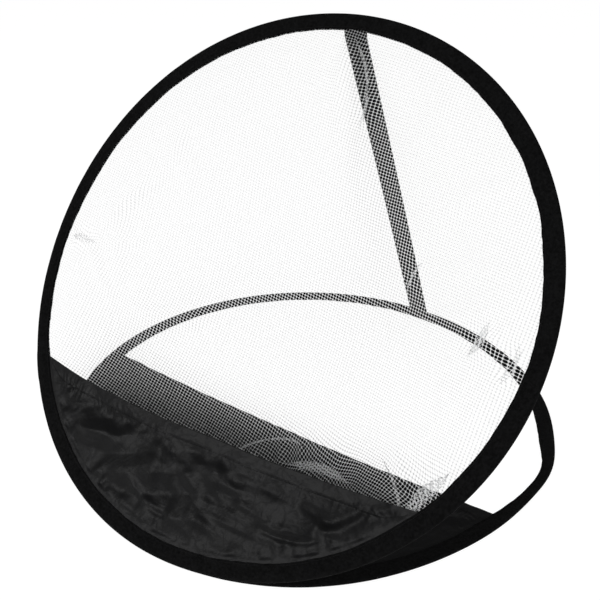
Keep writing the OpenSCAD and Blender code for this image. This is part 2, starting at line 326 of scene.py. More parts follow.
def piece(name, points, faces, material, uv=None):
    """A mesh object at the origin, with smooth faces and, where given, each point's UV place in metres."""
    mesh = bpy.data.meshes.new(name)
    mesh.from_pydata(np.asarray(points).reshape(-1, 3).tolist(), [], [list(map(int, f)) for f in faces])
    if uv is not None:
        uv = np.asarray(uv, np.float32).reshape(-1, 2)
        corners = uv[read(mesh.loops, "vertex_index")]
        mesh.uv_layers.new(name="UVMap").data.foreach_set("uv", corners.ravel())
    mesh.shade_smooth()
    mesh.materials.append(material)
    return linked(name, mesh)


def grid_faces(rows, cols, wrap_rows=False, wrap_cols=False):
    """Quads of a grid of rows by cols points, numbered row by row."""
    i = np.arange(rows if wrap_rows else rows - 1)[:, None]
    j = np.arange(cols if wrap_cols else cols - 1)[None, :]
    a, b = i * cols + j, i * cols + (j + 1) % cols
    c, d = (i + 1) % rows * cols + (j + 1) % cols, (i + 1) % rows * cols + j
    return np.stack([a, b, c, d], -1).reshape(-1, 4)


def tube(name, rings, material, uv, closed=False):
    """A skin over rings of points, joined into a loop or else with a flat face at both ends."""
    rows, count = rings.shape[:2]
    faces = [tuple(f) for f in grid_faces(rows, count, closed, True)]
    if not closed:
        faces += [tuple(range(count)), tuple(range((rows - 1) * count, rows * count))[::-1]]
    return piece(name, rings, faces, material, uv)


def pairs(a, b):
    return np.stack(np.broadcast_arrays(a, b), -1)


def unit(v):
    return v / np.linalg.norm(v, axis=-1, keepdims=True)


def run_of(line):
    """How far along a line each of its points lies."""
    return np.concatenate([[0], np.cumsum(np.linalg.norm(np.diff(line, axis=0), axis=1))])


def bake(obj):
    """Turns what the modifiers make into a plain mesh, and takes the modifiers off."""
    bpy.context.view_layer.update()
    mesh = bpy.data.meshes.new_from_object(obj.evaluated_get(bpy.context.evaluated_depsgraph_get()))
    obj.modifiers.clear()
    old, obj.data = obj.data, mesh
    bpy.data.meshes.remove(old)
    mesh.name = obj.name
    mesh.shade_smooth()


# ---------- nodes ----------

class Wiring:
    """Short ways to add nodes to a tree and join them. A node stands for its first output."""

    def __init__(self, tree):
        self.tree = tree

    def add(self, kind, inputs=(), **settings):
        node = self.tree.nodes.new(kind)
        for key, value in settings.items():
            setattr(node, key, value)
        for key, value in dict(inputs).items():
            self.put(node.inputs[key], value)
        return node

    def put(self, socket, value):
        if isinstance(value, bpy.types.Node):
            value = value.outputs[0]
        if isinstance(value, bpy.types.NodeSocket):
            self.tree.links.new(value, socket)
        else:
            socket.default_value = value

    def math(self, operation, *values):
        return self.add("ShaderNodeMath", enumerate(values), operation=operation)

    def times(self, a, b):
        return self.math("MULTIPLY", a, b)

    def sum(self, a, b):
        return self.math("ADD", a, b)

    def less(self, a, b):
        return self.math("SUBTRACT", a, b)

    def vector(self, operation, inputs):
        return self.add("ShaderNodeVectorMath", inputs, operation=operation)

    def xyz(self, **parts):
        return self.add("ShaderNodeCombineXYZ", parts)

    def noise(self, place, scale, detail=2.0, rough=0.5):
        return self.add("ShaderNodeTexNoise", {
            "Vector": place, "Scale": scale, "Detail": detail, "Roughness": rough,
        })

    def ramp(self, value, low, high, to_low=0.0, to_high=1.0):
        return self.add("ShaderNodeMapRange", enumerate((value, low, high, to_low, to_high)))

    def bump(self, height, strength, distance, **under):
        return self.add("ShaderNodeBump", {
            "Height": height, "Strength": strength, "Distance": distance, **under,
        })

    def tint(self, base, factor, spread):
        """A colour that varies from darker to lighter with a factor from 0 to 1."""
        dark, light = ([min(1, c * k) for c in base] + [1] for k in (1 - spread, 1 + spread))
        return self.add("ShaderNodeMix", {"Factor": factor, 6: dark, 7: light}, data_type="RGBA").outputs[2]

    def mixed(self, share, first, second):
        return self.add("ShaderNodeMixShader", {0: share, 1: first, 2: second})


SOCKETS = {
    float: "NodeSocketFloat",
    int: "NodeSocketInt",
    tuple: "NodeSocketVector",
    type(None): "NodeSocketMaterial",
}


def new_tree(name, kind, flow, inputs, outputs):
    """A tree whose inputs have the kinds of their defaults, its wiring, and what it takes and gives."""
    tree = bpy.data.node_groups.new(name, kind)
    if flow == "NodeSocketGeometry":
        tree.interface.new_socket("Geometry", in_out="INPUT", socket_type=flow)
    for label, default in inputs.items():
        socket = tree.interface.new_socket(label, in_out="INPUT", socket_type=SOCKETS[type(default)])
        if default is not None:
            socket.default_value = default
    for label in outputs:
        tree.interface.new_socket(label, in_out="OUTPUT", socket_type=flow)
    w = Wiring(tree)
    return w, w.add("NodeGroupInput").outputs, w.add("NodeGroupOutput").inputs


def shader_tree(name, inputs, outputs):
    return new_tree(name, "ShaderNodeTree", "NodeSocketFloat", {"Vector": (0.0, 0.0, 0.0), **inputs}, outputs)


def shape_tree(name, inputs):
    return new_tree(name, "GeometryNodeTree", "NodeSocketGeometry", {**inputs, "Finish": None}, ["Geometry"])


def once(name, make):
    """A node tree by its name, made on its first use."""
    return bpy.data.node_groups.get(name) or make(name)


def run_tree(obj, tree, **values):
    """Puts a tree on an object with its inputs set, and bakes the result to plain mesh."""
    modifier = obj.modifiers.new(tree.name, "NODES")
    modifier.node_group = tree
    for item in tree.interface.items_tree:
        if item.item_type == "SOCKET" and item.in_out == "INPUT" and item.name in values:
            modifier[item.identifier] = values[item.name]
    bake(obj)


def painted(w, shape, finish):
    return w.add("GeometryNodeSetMaterial", {"Geometry": shape, "Material": finish})


# ---------- materials ----------

def weave_tree(name):
    """A plain or ribbed weave on a surface's own UV places, with this many threads to the metre."""
    w, take, give = shader_tree(name, {"Threads": 2000.0, "Rib": 1.0, "Slub": 0.3}, ["Height"])
    split = w.add("ShaderNodeSeparateXYZ", {0: take["Vector"]}).outputs
    slub = w.times(w.less(w.noise(take["Vector"], 900.0), 0.5), take["Slub"])
    u = w.sum(w.times(split["X"], take["Threads"]), slub)
    v = w.sum(w.times(w.times(split["Y"], take["Threads"]), take["Rib"]), slub)
    across, along = (w.math("SINE", w.times(t, pi)) for t in (u, v))
    over, under = (w.math("ABSOLUTE", t) for t in (across, along))
    which = w.math("GREATER_THAN", w.times(across, along), 0.0)
    w.put(give["Height"], w.sum(w.times(over, which), w.times(under, w.less(1.0, which))))
    return w.tree


def crumple_tree(name):
    """Fine creases of thin coated cloth: sharp ridges with soft ground between them."""
    w, take, give = shader_tree(name, {"Scale": 60.0, "Warp": 0.01}, ["Height", "Ridge"])
    bend = w.noise(take["Vector"], 35.0, 3.0).outputs["Color"]
    shift = w.vector("SCALE", {0: w.vector("SUBTRACT", {0: bend, 1: (0.5, 0.5, 0.5)}), "Scale": take["Warp"]})
    moved = w.vector("ADD", {0: take["Vector"], 1: shift})
    height = w.sum(*(
        w.times(w.add("ShaderNodeTexVoronoi", {
            "Vector": moved, "Scale": w.times(take["Scale"], finer),
        }, feature="DISTANCE_TO_EDGE"), weight)
        for finer, weight in ((1.0, 0.6), (2.3, 0.3))
    ))
    w.put(give["Height"], w.less(1.0, height))
    w.put(give["Ridge"], w.ramp(height, 0.0, 0.08, 1.0, 0.0))
    return w.tree


def woven(w, uv, threads, slub, rib=1.0):
    return w.add("ShaderNodeGroup", {
        "Vector": uv, "Threads": threads, "Rib": rib, "Slub": slub,
    }, node_tree=once("Weave", weave_tree))


# Each look gives how the colour varies and how far, the roughness and the bump.

def binding_look(w, uv, place, fine):
    weave = woven(w, uv, fine, 0.5)
    # painted shading: the binding's colour is mottled lighter and darker at random, coarse and fine, as
    # painted sheen of its wrinkled cloth; the same noise also raises its bump
    painted_shading = w.ramp(w.noise(place, 140.0, 6.0, 0.7), 0.35, 0.65)
    fine_painted_shading = w.ramp(w.noise(place, 420.0, 3.0, 0.6), 0.36, 0.64)
    painted_shading = w.sum(w.times(painted_shading, 0.35), w.times(fine_painted_shading, 0.65))
    bump = w.bump(w.sum(weave, w.times(painted_shading, 1.4)), 0.9, 0.34 * MM)
    return painted_shading, 0.9, w.ramp(weave, 0.0, 1.0, 0.98, 0.82), bump


def apron_look(w, uv, place, fine):
    crumple = w.add("ShaderNodeGroup", {
        "Vector": uv, "Scale": 75.0, "Warp": 0.03,
    }, node_tree=once("Crumple", crumple_tree)).outputs
    cloud = w.noise(uv, 24.0, 5.0, 0.6)
    rough = w.sum(w.ramp(crumple["Ridge"], 0.0, 1.0, 0.38, 0.50), w.times(cloud, 0.08))
    threads = w.bump(woven(w, uv, fine, 0.2), 0.25, 0.04 * MM)
    return cloud, 0.45, rough, w.bump(crumple["Height"], 0.6, MM, Normal=threads)


def webbing_look(w, uv, place, fine):
    weave = woven(w, uv, fine, 0.15, rib=0.6)
    # painted shade: the colour follows the weave's height, darker in the grooves between the threads, and
    # varies in patches at random
    painted_shading = w.times(weave, w.noise(place, 120.0, 3.0))
    return painted_shading, 0.5, w.ramp(weave, 0.0, 1.0, 0.95, 0.66), w.bump(weave, 0.8, 0.28 * MM)


def net_look(w, uv, place, fine):
    fuzz = w.noise(place, fine, 2.0)
    cloud = w.noise(place, 30.0, 3.0)
    return w.times(fuzz, cloud), 0.06, w.ramp(fuzz, 0.2, 0.8, 0.8, 1.0), w.bump(fuzz, 0.4, 0.08 * MM)


def thread_look(w, uv, place, fine):
    ply = w.add("ShaderNodeTexWave", {"Vector": place, "Scale": fine, "Distortion": 1.5}).outputs["Fac"]
    # painted shade: the thread's colour follows the twist of its plies, darker in the grooves between them
    return ply, 0.3, w.ramp(ply, 0.0, 1.0, 0.7, 0.45), w.bump(ply, 0.5, 0.06 * MM)


def steel_look(w, uv, place, fine):
    # steel gives how fine its stains are and how rough it is
    stains, rough = fine
    brushed = w.noise(w.add("ShaderNodeMapping", {"Vector": uv, "Scale": (60.0, 9000.0, 1.0)}), 1.0, 4.0)
    polish = w.ramp(brushed, 0.3, 0.7, rough - 0.08, rough + 0.12)
    return w.noise(place, stains, 4.0), 0.25, polish, w.bump(brushed, 0.15, 0.04 * MM)


# Colour, roughness, shine, metal, look, how fine its grain is, and whether it lets light through.
MATERIALS = {
    "Spring steel": ("spring", 0.34, 0.5, 1.0, steel_look, (40.0, 0.34), {}),
    "Plated ferrule": ("ferrule", 0.28, 0.5, 1.0, steel_look, (90.0, 0.28), {}),
    "Black binding": ("binding", 0.9, 0.08, 0.0, binding_look, 1900.0, {}),
    "Black polyester": ("apron", 0.42, 0.112, 0.0, apron_look, 3400.0, {}),
    "Black webbing": ("webbing", 0.8, 0.12, 0.0, webbing_look, 620.0, {}),
    "Black tape": ("webbing", 0.8, 0.12, 0.0, webbing_look, 1300.0, {}),
    "Black thread": ("thread", 0.6, 0.12, 0.0, thread_look, 900.0, {}),
    "White mesh": ("net", 0.9, 0.2, 0.0, net_look, 5200.0, {"Transmission Weight": 0.6, "IOR": 1.3}),
}


def material(name):
    """A material of the table, made on its first use."""
    if name in bpy.data.materials:
        return bpy.data.materials[name]
    finish, roughness, specular, metallic, look, fine, through = MATERIALS[name]
    base = getattr(sizes().finish, finish)
    made = bpy.data.materials.new(name)
    made.use_nodes = True
    made.node_tree.nodes.clear()
    w = Wiring(made.node_tree)
    shader = w.add("ShaderNodeBsdfPrincipled", {
        "Base Color": (*base, 1), "Roughness": roughness, "Specular IOR Level": specular,
        "Metallic": metallic, **through,
    })
    w.add("ShaderNodeOutputMaterial", {"Surface": shader})
    place = w.add("ShaderNodeTexCoord").outputs
    factor, spread, rough, bump = look(w, place["UV"], place["Object"], fine)
    w.put(shader.inputs["Base Color"], w.tint(base, factor, spread))
    w.put(shader.inputs["Roughness"], rough)
    w.put(shader.inputs["Normal"], bump)
    return made


# ---------- stitches ----------

# How much of each pitch the thread covers, and how far a stitch strays from its line, in radians.
STITCH_SHARE, STITCH_WANDER = 0.8, 0.06


def stitch_tree(name):
    """Lays one stitch after another along a line of points: each rises from the cloth and dips back in."""
    w, take, give = shape_tree(name, {
        "Pitch": 0.003, "Share": STITCH_SHARE, "Thread": 0.0003, "Wander": STITCH_WANDER, "Seed": 1,
    })
    line = w.add("GeometryNodeMeshToCurve", {"Mesh": take["Geometry"]})
    even = w.add("GeometryNodeResampleCurve", {"Curve": line, "Length": take["Pitch"]}, mode="LENGTH")
    dots = w.add("GeometryNodeCurveToPoints", {"Curve": even}, mode="EVALUATED").outputs
    run = w.times(w.times(take["Pitch"], take["Share"]), 0.5)
    arc = w.add("GeometryNodeCurveQuadraticBezier", {
        "Resolution": 4, "Start": w.xyz(Z=w.times(run, -1.0)),
        "Middle": w.xyz(X=w.times(take["Thread"], 1.2)), "End": w.xyz(Z=run),
    })
    ring = w.add("GeometryNodeCurvePrimitiveCircle", {
        "Resolution": 5, "Radius": w.times(take["Thread"], 0.5),
    }, mode="RADIUS")
    stitch = w.add("GeometryNodeCurveToMesh", {"Curve": arc, "Profile Curve": ring, "Fill Caps": True})
    up = w.add("GeometryNodeInputNamedAttribute", {"Name": "up"}, data_type="FLOAT_VECTOR")
    turned = w.add("FunctionNodeAlignRotationToVector", {
        "Rotation": dots["Rotation"], "Vector": up,
    }, axis="X", pivot_axis="Z")
    wander = w.add("FunctionNodeRandomValue", {
        2: w.times(take["Wander"], -1.0), 3: take["Wander"], "Seed": take["Seed"],
    }, data_type="FLOAT").outputs[1]
    sway = w.add("FunctionNodeEulerToRotation", {0: w.xyz(X=wander)})
    loose = w.add("FunctionNodeRotateRotation", {0: turned, 1: sway}, rotation_space="LOCAL")
    laid = w.add("GeometryNodeInstanceOnPoints", {
        "Points": dots["Points"], "Instance": stitch, "Rotation": loose,
    })
    w.put(give[0], painted(w, w.add("GeometryNodeRealizeInstances", {"Geometry": laid}), take["Finish"]))
    return w.tree


def stitch_row(name, lines, ups, pitch, thread, body, closed=False, seed=3):
    """Sews rows of stitches along lines of world points. Ups gives the way out of the cloth at each point."""
    points, edges, up = [], [], []
    for line, outwards in zip(lines, ups):
        first, count = len(points), len(line)
        points += [tuple(p) for p in line]
        up += [tuple(p) for p in np.broadcast_to(outwards, (count, 3))]
        edges += [(first + i, first + i + 1) for i in range(count - 1)]
        if closed:
            edges.append((first + count - 1, first))
    mesh = bpy.data.meshes.new(name)
    mesh.from_pydata(points, edges, [])
    attribute = mesh.attributes.new("up", "FLOAT_VECTOR", "POINT")
    attribute.data.foreach_set("vector", np.asarray(up, np.float32).ravel())
    obj = linked(name, mesh)
    run_tree(
        obj, once("Row of stitches", stitch_tree), Pitch=pitch, Share=STITCH_SHARE, Thread=thread,
        Wander=STITCH_WANDER, Seed=seed, Finish=material("Black thread"),
    )
    if not len(obj.data.polygons):
        raise RuntimeError(f"{name} has no stitches")
    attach(obj, body)
    return obj


# ---------- hoops ----------

# The two ends of each spring meet in its ferrule, in this direction.
FERRULE_AT = radians(215)
# The spring strip: how far it lies inside the hoop's outline, its thickness, half its width and its corners.
SPRING_IN, SPRING_THICK, SPRING_HALF, SPRING_CORNER = 1.4 * MM, 1.0 * MM, 1.5 * MM, 0.25 * MM
# Half the ferrule's length, and half the gap between the spring's ends inside it.
FERRULE_HALF, SPRING_GAP = 16 * MM, 0.5 * MM
# In how many places round the hoop the springs and the bindings have their points.
SPRING_STEPS, BINDING_STEPS = 361, 1080


def swept(name, which, section, phis, finish, closed=True):
    """A ring or part of a ring with the given cross-section of (radius, height) points for each direction."""
    section = np.broadcast_to(section, (len(phis), *np.shape(section)[-2:]))
    rings = on_hoop(which, section[:, :, 0], phis[:, None], section[:, :, 1])
    uv = pairs(phis[:, None] * HOOP_R, run_of(section[0])[None])
    return tube(name, rings, material(finish), uv, closed)


def rounded_bar(r0, r1, half, corner):
    """The outline of a flat bar with rounded corners, between radii r0 and r1."""
    outline = []
    r = (r0 + corner, r1 - corner)
    n = (-half + corner, half - corner)
    for i, j, start in ((0, 0, 180), (1, 0, 270), (1, 1, 0), (0, 1, 90)):
        for turn in np.radians(start + np.linspace(0, 90, 4)):
            outline.append((r[i] + corner * cos(turn), n[j] + corner * sin(turn)))
    return np.array(outline)


def sleeve_paths(which, phis):
    """The folded cloth's middle line all round, from the front lip over the spring to the back lip."""
    s = sizes()
    b, hoop = s.binding, getattr(s, f"{which}_hoop")
    seed = s.stage.seed + (0 if which == "front" else 20)
    # from the lip over the spring to the outer edge, as shares of the width and of half the thickness
    half = np.array([
        (0.0, 0.48), (0.05, 0.50), (0.11, 0.49), (0.17, 0.47), (0.23, 0.50), (0.31, 0.58), (0.42, 0.74),
        (0.54, 0.91), (0.66, 0.99), (0.79, 1.0), (0.89, 0.94), (0.95, 0.74), (0.99, 0.41), (1.0, 0.0),
    ]) * (b.width - b.cloth / 2, (b.thick - b.cloth) / 2)
    path = np.concatenate([half, (half * (1, -1))[-2::-1]])
    full = np.repeat(path[None], len(phis), 0)
    run, turns = phis * HOOP_R, phis / (2 * pi)
    r_in, n_side = path[:, 0], np.sign(path[:, 1])
    lip_wave = soft_noise(64 * turns, 0, seed) + 0.5 * soft_noise(256 * turns, 3, seed + 1)
    full[:, :, 0] += b.waviness * lip_wave[:, None] * np.exp(-(r_in / (4 * MM)) ** 2)
    # sewn unevenly, it is wider on one side of the hoop
    wider = hoop.uneven * np.cos(phis - hoop.uneven_at) + bumps(SEWN[which], phis)
    full[:, :, 0] -= wider[:, None] * np.clip(1 - r_in / (0.8 * b.width), 0, 1)
    # the ferrule swells it
    swollen = np.exp(-((phis - FERRULE_AT) * HOOP_R / (15 * MM)) ** 6)[:, None]
    full[:, :, 0] += swollen * 0.35 * MM * step(r_in, 0.7 * b.width, 0.9 * b.width)
    full[:, :, 1] *= 1 + swollen * 0.14 * step(r_in, 0.4 * b.width, 0.7 * b.width)
    # the cloth is uneven over the spring, and the seam pulls it in
    over_wire = np.exp(-((r_in - 11 * MM) / (4 * MM)) ** 2)
    pull = b.seam_dip * (0.75 + 0.25 * np.cos(2 * pi * run / b.stitch))
    seam = np.exp(-((r_in - b.seam_in) / (0.8 * MM)) ** 2)
    for side, row in ((1, 5), (-1, 9)):
        face = np.where(n_side == side, side, 0)
        swell = soft_noise(128 * turns, row, seed + 2) + 0.4 * soft_noise(320 * turns, row + 2, seed + 3)
        full[:, :, 1] += face * 0.12 * MM * (swell[:, None] - 1) * over_wire - face * pull[:, None] * seam
    full[:, :, 0] += HOOP_R - b.width
    return full


def sides_of(path, cloth):
    """The closed outline round a line of cloth, half its thickness away on each side, with rounded ends."""
    d = unit(np.gradient(path, axis=1))
    off = np.stack([-d[:, :, 1], d[:, :, 0]], -1) * cloth / 2
    tip = d * cloth * 0.4
    return np.concatenate([
        path[:, :1] - tip[:, :1], path + off, path[:, -1:] + tip[:, -1:], (path - off)[:, ::-1],
    ], 1)


class CHIPNET_OT_springs(Operator):
    """Makes the flat spring strips and the crimped ferrules that close them"""
    bl_idname = "chipnet.springs"
    bl_label = "Springs and Ferrules"

    def execute(self, context):
        strip_out = HOOP_R - SPRING_IN
        gap = SPRING_GAP / strip_out
        bar = rounded_bar(strip_out - SPRING_THICK, strip_out, SPRING_HALF, SPRING_CORNER)
        along = np.linspace(-1, 1, 41)
        crimp = (1 - 0.05 * np.exp(-((np.abs(along) - 0.55) / 0.07) ** 2))[:, None, None]
        middle = (strip_out - SPRING_THICK / 2, 0)
        outer, inner = (
            rounded_bar(-wide * MM, wide * MM, half * MM, corner * MM)[None] * crimp + middle
            for wide, half, corner in ((1.1, 2.1, 0.8), (0.65, 1.65, 0.3))
        )
        # the ferrule's skin runs along its outside and back through its inside
        there = FERRULE_AT + FERRULE_HALF / strip_out * along
        skin, phis = np.concatenate([outer, inner[::-1]]), np.concatenate([there, there[::-1]])
        round_it = FERRULE_AT + np.linspace(gap, 2 * pi - gap, SPRING_STEPS)
        for which in ("base", "front"):
            strip = swept(f"{which}_spring", which, bar, round_it, "Spring steel", closed=False)
            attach(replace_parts(strip, f"{which}_wire"), which)
            crimped = swept(f"{which}_crimp", which, skin, phis, "Plated ferrule")
            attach(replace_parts(crimped, f"{which}_ferrule"), which)
        return {"FINISHED"}


class CHIPNET_OT_bindings(Operator):
    """Makes the folded binding over each hoop and sews it shut on both faces"""
    bl_idname = "chipnet.bindings"
    bl_label = "Bindings"

    def execute(self, context):
        b = sizes().binding
        phis = np.linspace(0, 2 * pi, BINDING_STEPS, endpoint=False)
        for which in ("base", "front"):
            path = sleeve_paths(which, phis)
            flat = np.hypot(*np.moveaxis(np.diff(path, axis=1), -1, 0)).sum(1).mean()
            sleeve = swept(f"{which}_binding", which, sides_of(path, b.cloth)[:, ::-1], phis, "Black binding")
            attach(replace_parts(sleeve, f"{which}_sleeve"), which)
            seams, ups = [], []
            at_seam = path[:, np.argmin(np.abs(path[0, :14, 0] - (HOOP_R - b.width + b.seam_in)))]
            r = at_seam[:, 0]
            for side in (1, -1):
                height = side * (at_seam[:, 1] + b.cloth / 2 - 0.02 * MM)
                seams.append(on_hoop(which, r, phis, height))
                ups.append(on_hoop(which, r, phis, height + side * MM) - seams[-1])
            thread = stitch_row(f"{which}_binding_seam", seams, ups, b.stitch, 0.3 * MM, which, closed=True)
        return {"FINISHED"}


# ---------- net ----------

# Soft folds of the slack net: two ends in the hoop's plane, width, height, all in millimetres.
NET_FOLDS = (
    (-160, 120, -120, 60, 13, 3), (-196, 60, -168, -40, 10, 3), (-150, 0, -140, -80, 12, 3),
    (35, -126, 60, -160, 4, 3), (53, -123, 84, -158, 4, 3), (12, -139, 24, -165, 4, 3),
    (150, -98, 176, -112, 5, 4), (160, -140, 206, -122, 3, 3), (158, -128, 204, -106, 3, 3),
    (192, 22, 200, -22, 4, 3), (226, 12, 236, -34, 4, 3), (30, 168, 62, 96, 9, 3),
    (-120, 196, -84, 132, 10, 3), (110, 200, 84, 130, 10, 3), (186, 132, 128, 92, 10, 3),
    (-60, 226, -48, 170, 7, 3), (206, 62, 150, 48, 9, 3),
    (-212, -13, -168, 12, 5, 3), (-210, -18, -172, -52, 5, 3), (-216, -26, -212, -112, 4, 3.4),
    (-206, 6, -186, 92, 6, 4), (-198, 24, -160, 128, 6, 3), (-6, 232, 16, 150, 7, 5),
    (-150, -60, -90, -40, 9, 5), (196, -40, 178, -92, 8, 5), (214, 20, 196, -40, 5, 4),
)
# Pleats, where it lies over itself: two ends, width of the overlap, height and reach, in millimetres.
NET_PLEATS = (
    (-2, -152, 28, -130, 2.6, 0.8, 26), (22, -132, 56, -124, 2.6, 0.8, 26),
    (60, -143, 114, -138, 9, 1.2, 40), (148, -112, 176, -136, 3.2, 0.8, 26),
    (186, -140, 206, -104, 15, 1.2, 44), (197, 18, 190, -6, 7.5, 0.4, 18),
    (229, 6, 225, -18, 7, 0.4, 11), (-240, -16, -212, -13, 7, 1.2, 15),
    (3, 228, 27, 187, 3.2, 0.6, 14), (26, 188, 28, 160, 4, 0.6, 14), (111, 34, 118, 56, 2.4, 0.6, 16),
)
# Where the net stays level over a wider rim: direction and width in degrees, change in millimetres.
WIDE_RIM = ((173, 10, 9), (193, 8, 8), (332, 16, 6), (355, 20, 5))
# In how many directions and how far outwards the bag's cloth is measured.
SECTORS, OUTWARDS = 180, 121


def rim_width(phi):
    """How far in from the binding the net stays level."""
    s = sizes()
    width = s.net.rim * (1 + 0.45 * soft_noise(5 * np.cos(phi), 5 * np.sin(phi), s.stage.seed + 40))
    # behind the apron it falls away at once
    return np.maximum((width + bumps(WIDE_RIM, phi)) * (1 - 0.8 * step(-np.sin(phi), 0.42, 0.6)), 2 * MM)


def bag(x, y, reach):
    """How far the slack net hangs behind the hoop's plane."""
    s = sizes().net
    phi = np.arctan2(y, x)
    t = np.hypot(x, y) / (reach - rim_width(phi))
    u = 1 - t * t
    ripple = 1 + 0.03 * np.sin(9 * phi) * np.clip(t, 0, 1) ** 2
    return -s.depth * (u + np.sqrt(u * u + 0.0025)) / 2 * (1 - s.low * y / reach) * ripple


def pleated(x, y, reach):
    """Draws the net together along its pleats, so that it doubles over itself there."""
    lift = np.zeros_like(x)
    held = sizes().net.folds * step(-np.hypot(x, y), -reach, -reach + 8 * MM)
    for *ends, over, high, far in np.array(NET_PLEATS) * MM:
        run, (dx, dy), t, side = on_line(x, y, *ends)
        side = side - 0.06 * run * np.sin(3 * t)
        lap = np.maximum(over * held * fading(t, 0.3, 0.3), 1e-7)
        fade = step(-np.clip(np.abs(side) - lap / 2, 0, None) / far, -1, 0)
        across = np.clip(2 * side / lap, -1, 1)
        shift = across * lap * fade
        x, y = x + shift * dy, y - shift * dx
        lift = lift - across * fade * high * np.clip(lap / (0.5 * over), 0, 1)
    return x, y, lift


def net_relief(x, y, reach):
    """The net's height off the hoop's plane: the bag, its folds and their unevenness."""
    s = sizes()
    seed = s.stage.seed
    r = np.hypot(x, y)
    loose = s.net.folds * step(-r, -reach * 0.995, -reach * 0.9)
    uneven = soft_noise(x / 0.055, y / 0.055, seed) * 2.6 + soft_noise(x / 0.022, y / 0.022, seed + 1) * 0.9
    n = bag(x, y, reach) + loose * (sum(ridge(x, y, fold) for fold in NET_FOLDS) + uneven * MM)
    # behind the apron it hangs back, clear of that cloth
    clear = step(-y, 0.10, 0.135)
    return np.minimum(n, -0.4 * np.clip(reach - r, 0, 25 * MM) * clear + 0.03 * (1 - clear))


def mesh_tree(name):
    """Repeats one cell of the net, a hole with its threads, over a disc, in rows that run downhill."""
    w, take, give = shape_tree(name, {
        "Across": 0.003, "Down": 0.00266, "Columns": 10, "Rows": 10, "Slope": 0.1, "Radius": 0.25,
    })
    field = w.add("GeometryNodeMeshGrid", {
        "Size X": w.times(take["Across"], w.less(take["Columns"], 1)),
        "Size Y": w.times(take["Down"], w.less(take["Rows"], 1)),
        "Vertices X": take["Columns"], "Vertices Y": take["Rows"],
    })
    here = w.add("ShaderNodeSeparateXYZ", {0: w.add("GeometryNodeInputPosition")}).outputs
    sloped = w.xyz(X=here["X"], Y=w.less(here["Y"], w.times(here["X"], take["Slope"])), Z=here["Z"])
    outside = w.math("GREATER_THAN", w.vector("LENGTH", {0: sloped}).outputs["Value"], take["Radius"])
    centres = w.add("GeometryNodeMeshToPoints", {"Mesh": field})
    inside = w.add("GeometryNodeDeleteGeometry", {"Geometry": centres, "Selection": outside}, domain="POINT")
    cells = w.add("GeometryNodeInstanceOnPoints", {"Points": inside, "Instance": take["Geometry"]})
    real = w.add("GeometryNodeRealizeInstances", {"Geometry": cells})
    joined = w.add("GeometryNodeMergeByDistance", {"Geometry": real, "Distance": 1e-5})
    tilted = w.add("GeometryNodeSetPosition", {"Geometry": joined, "Position": sloped})
    w.put(give[0], painted(w, tilted, take["Finish"]))
    return w.tree


def cell_mesh(across, down, thread, knot):
    """One cell: four corners round an eight-sided hole."""
    a, d = across / 2, down / 2
    p, q = a - thread / 2, d - thread / 2
    corners = [(-a, -d), (a, -d), (a, d), (-a, d)]
    hole = [(-p + knot, -q), (p - knot, -q), (p, -q + knot), (p, q - knot),
            (p - knot, q), (-p + knot, q), (-p, q - knot), (-p, -q + knot)]
    faces = []
    for k in range(4):
        near, far, after = 4 + 2 * k, 5 + 2 * k, (k + 1) % 4
        faces += [(k, after, far, near), (after, 4 + (2 * k + 2) % 8, far)]
    return [(x, y, 0) for x, y in corners + hole], faces


def measured(reach):
    """Steps outwards in the hoop, and how much of the bag's cloth lies within each, in all directions."""
    rays = np.linspace(-pi, pi, SECTORS + 1)[:, None]
    out = np.linspace(0, reach, OUTWARDS)
    fall = bag(out * np.cos(rays), out * np.sin(rays), reach)
    cloth = np.zeros_like(fall)
    cloth[:, 1:] = np.cumsum(np.hypot(np.diff(fall, axis=1), np.diff(out)), 1)
    return out, cloth


def bagged(flat, out, cloth):
    """Radius and direction in the hoop of each point of the flat net, once the cloth follows the bag."""
    along, phi = np.hypot(*flat.T), np.arctan2(flat[:, 1], flat[:, 0])
    where = (phi + pi) / (2 * pi) * SECTORS
    lower = np.clip(where.astype(int), 0, SECTORS - 1)
    part = where - lower
    r = np.zeros(len(flat))
    for k in range(SECTORS):
        mine = lower == k
        if mine.any():
            a, b = (np.interp(along[mine], cloth[i], out) for i in (k, k + 1))
            edge = cloth[k, -1] * (1 - part[mine]) + cloth[k + 1, -1] * part[mine]
            r[mine] = a * (1 - part[mine]) + b * part[mine] + np.maximum(0, along[mine] - edge)
    return r, phi


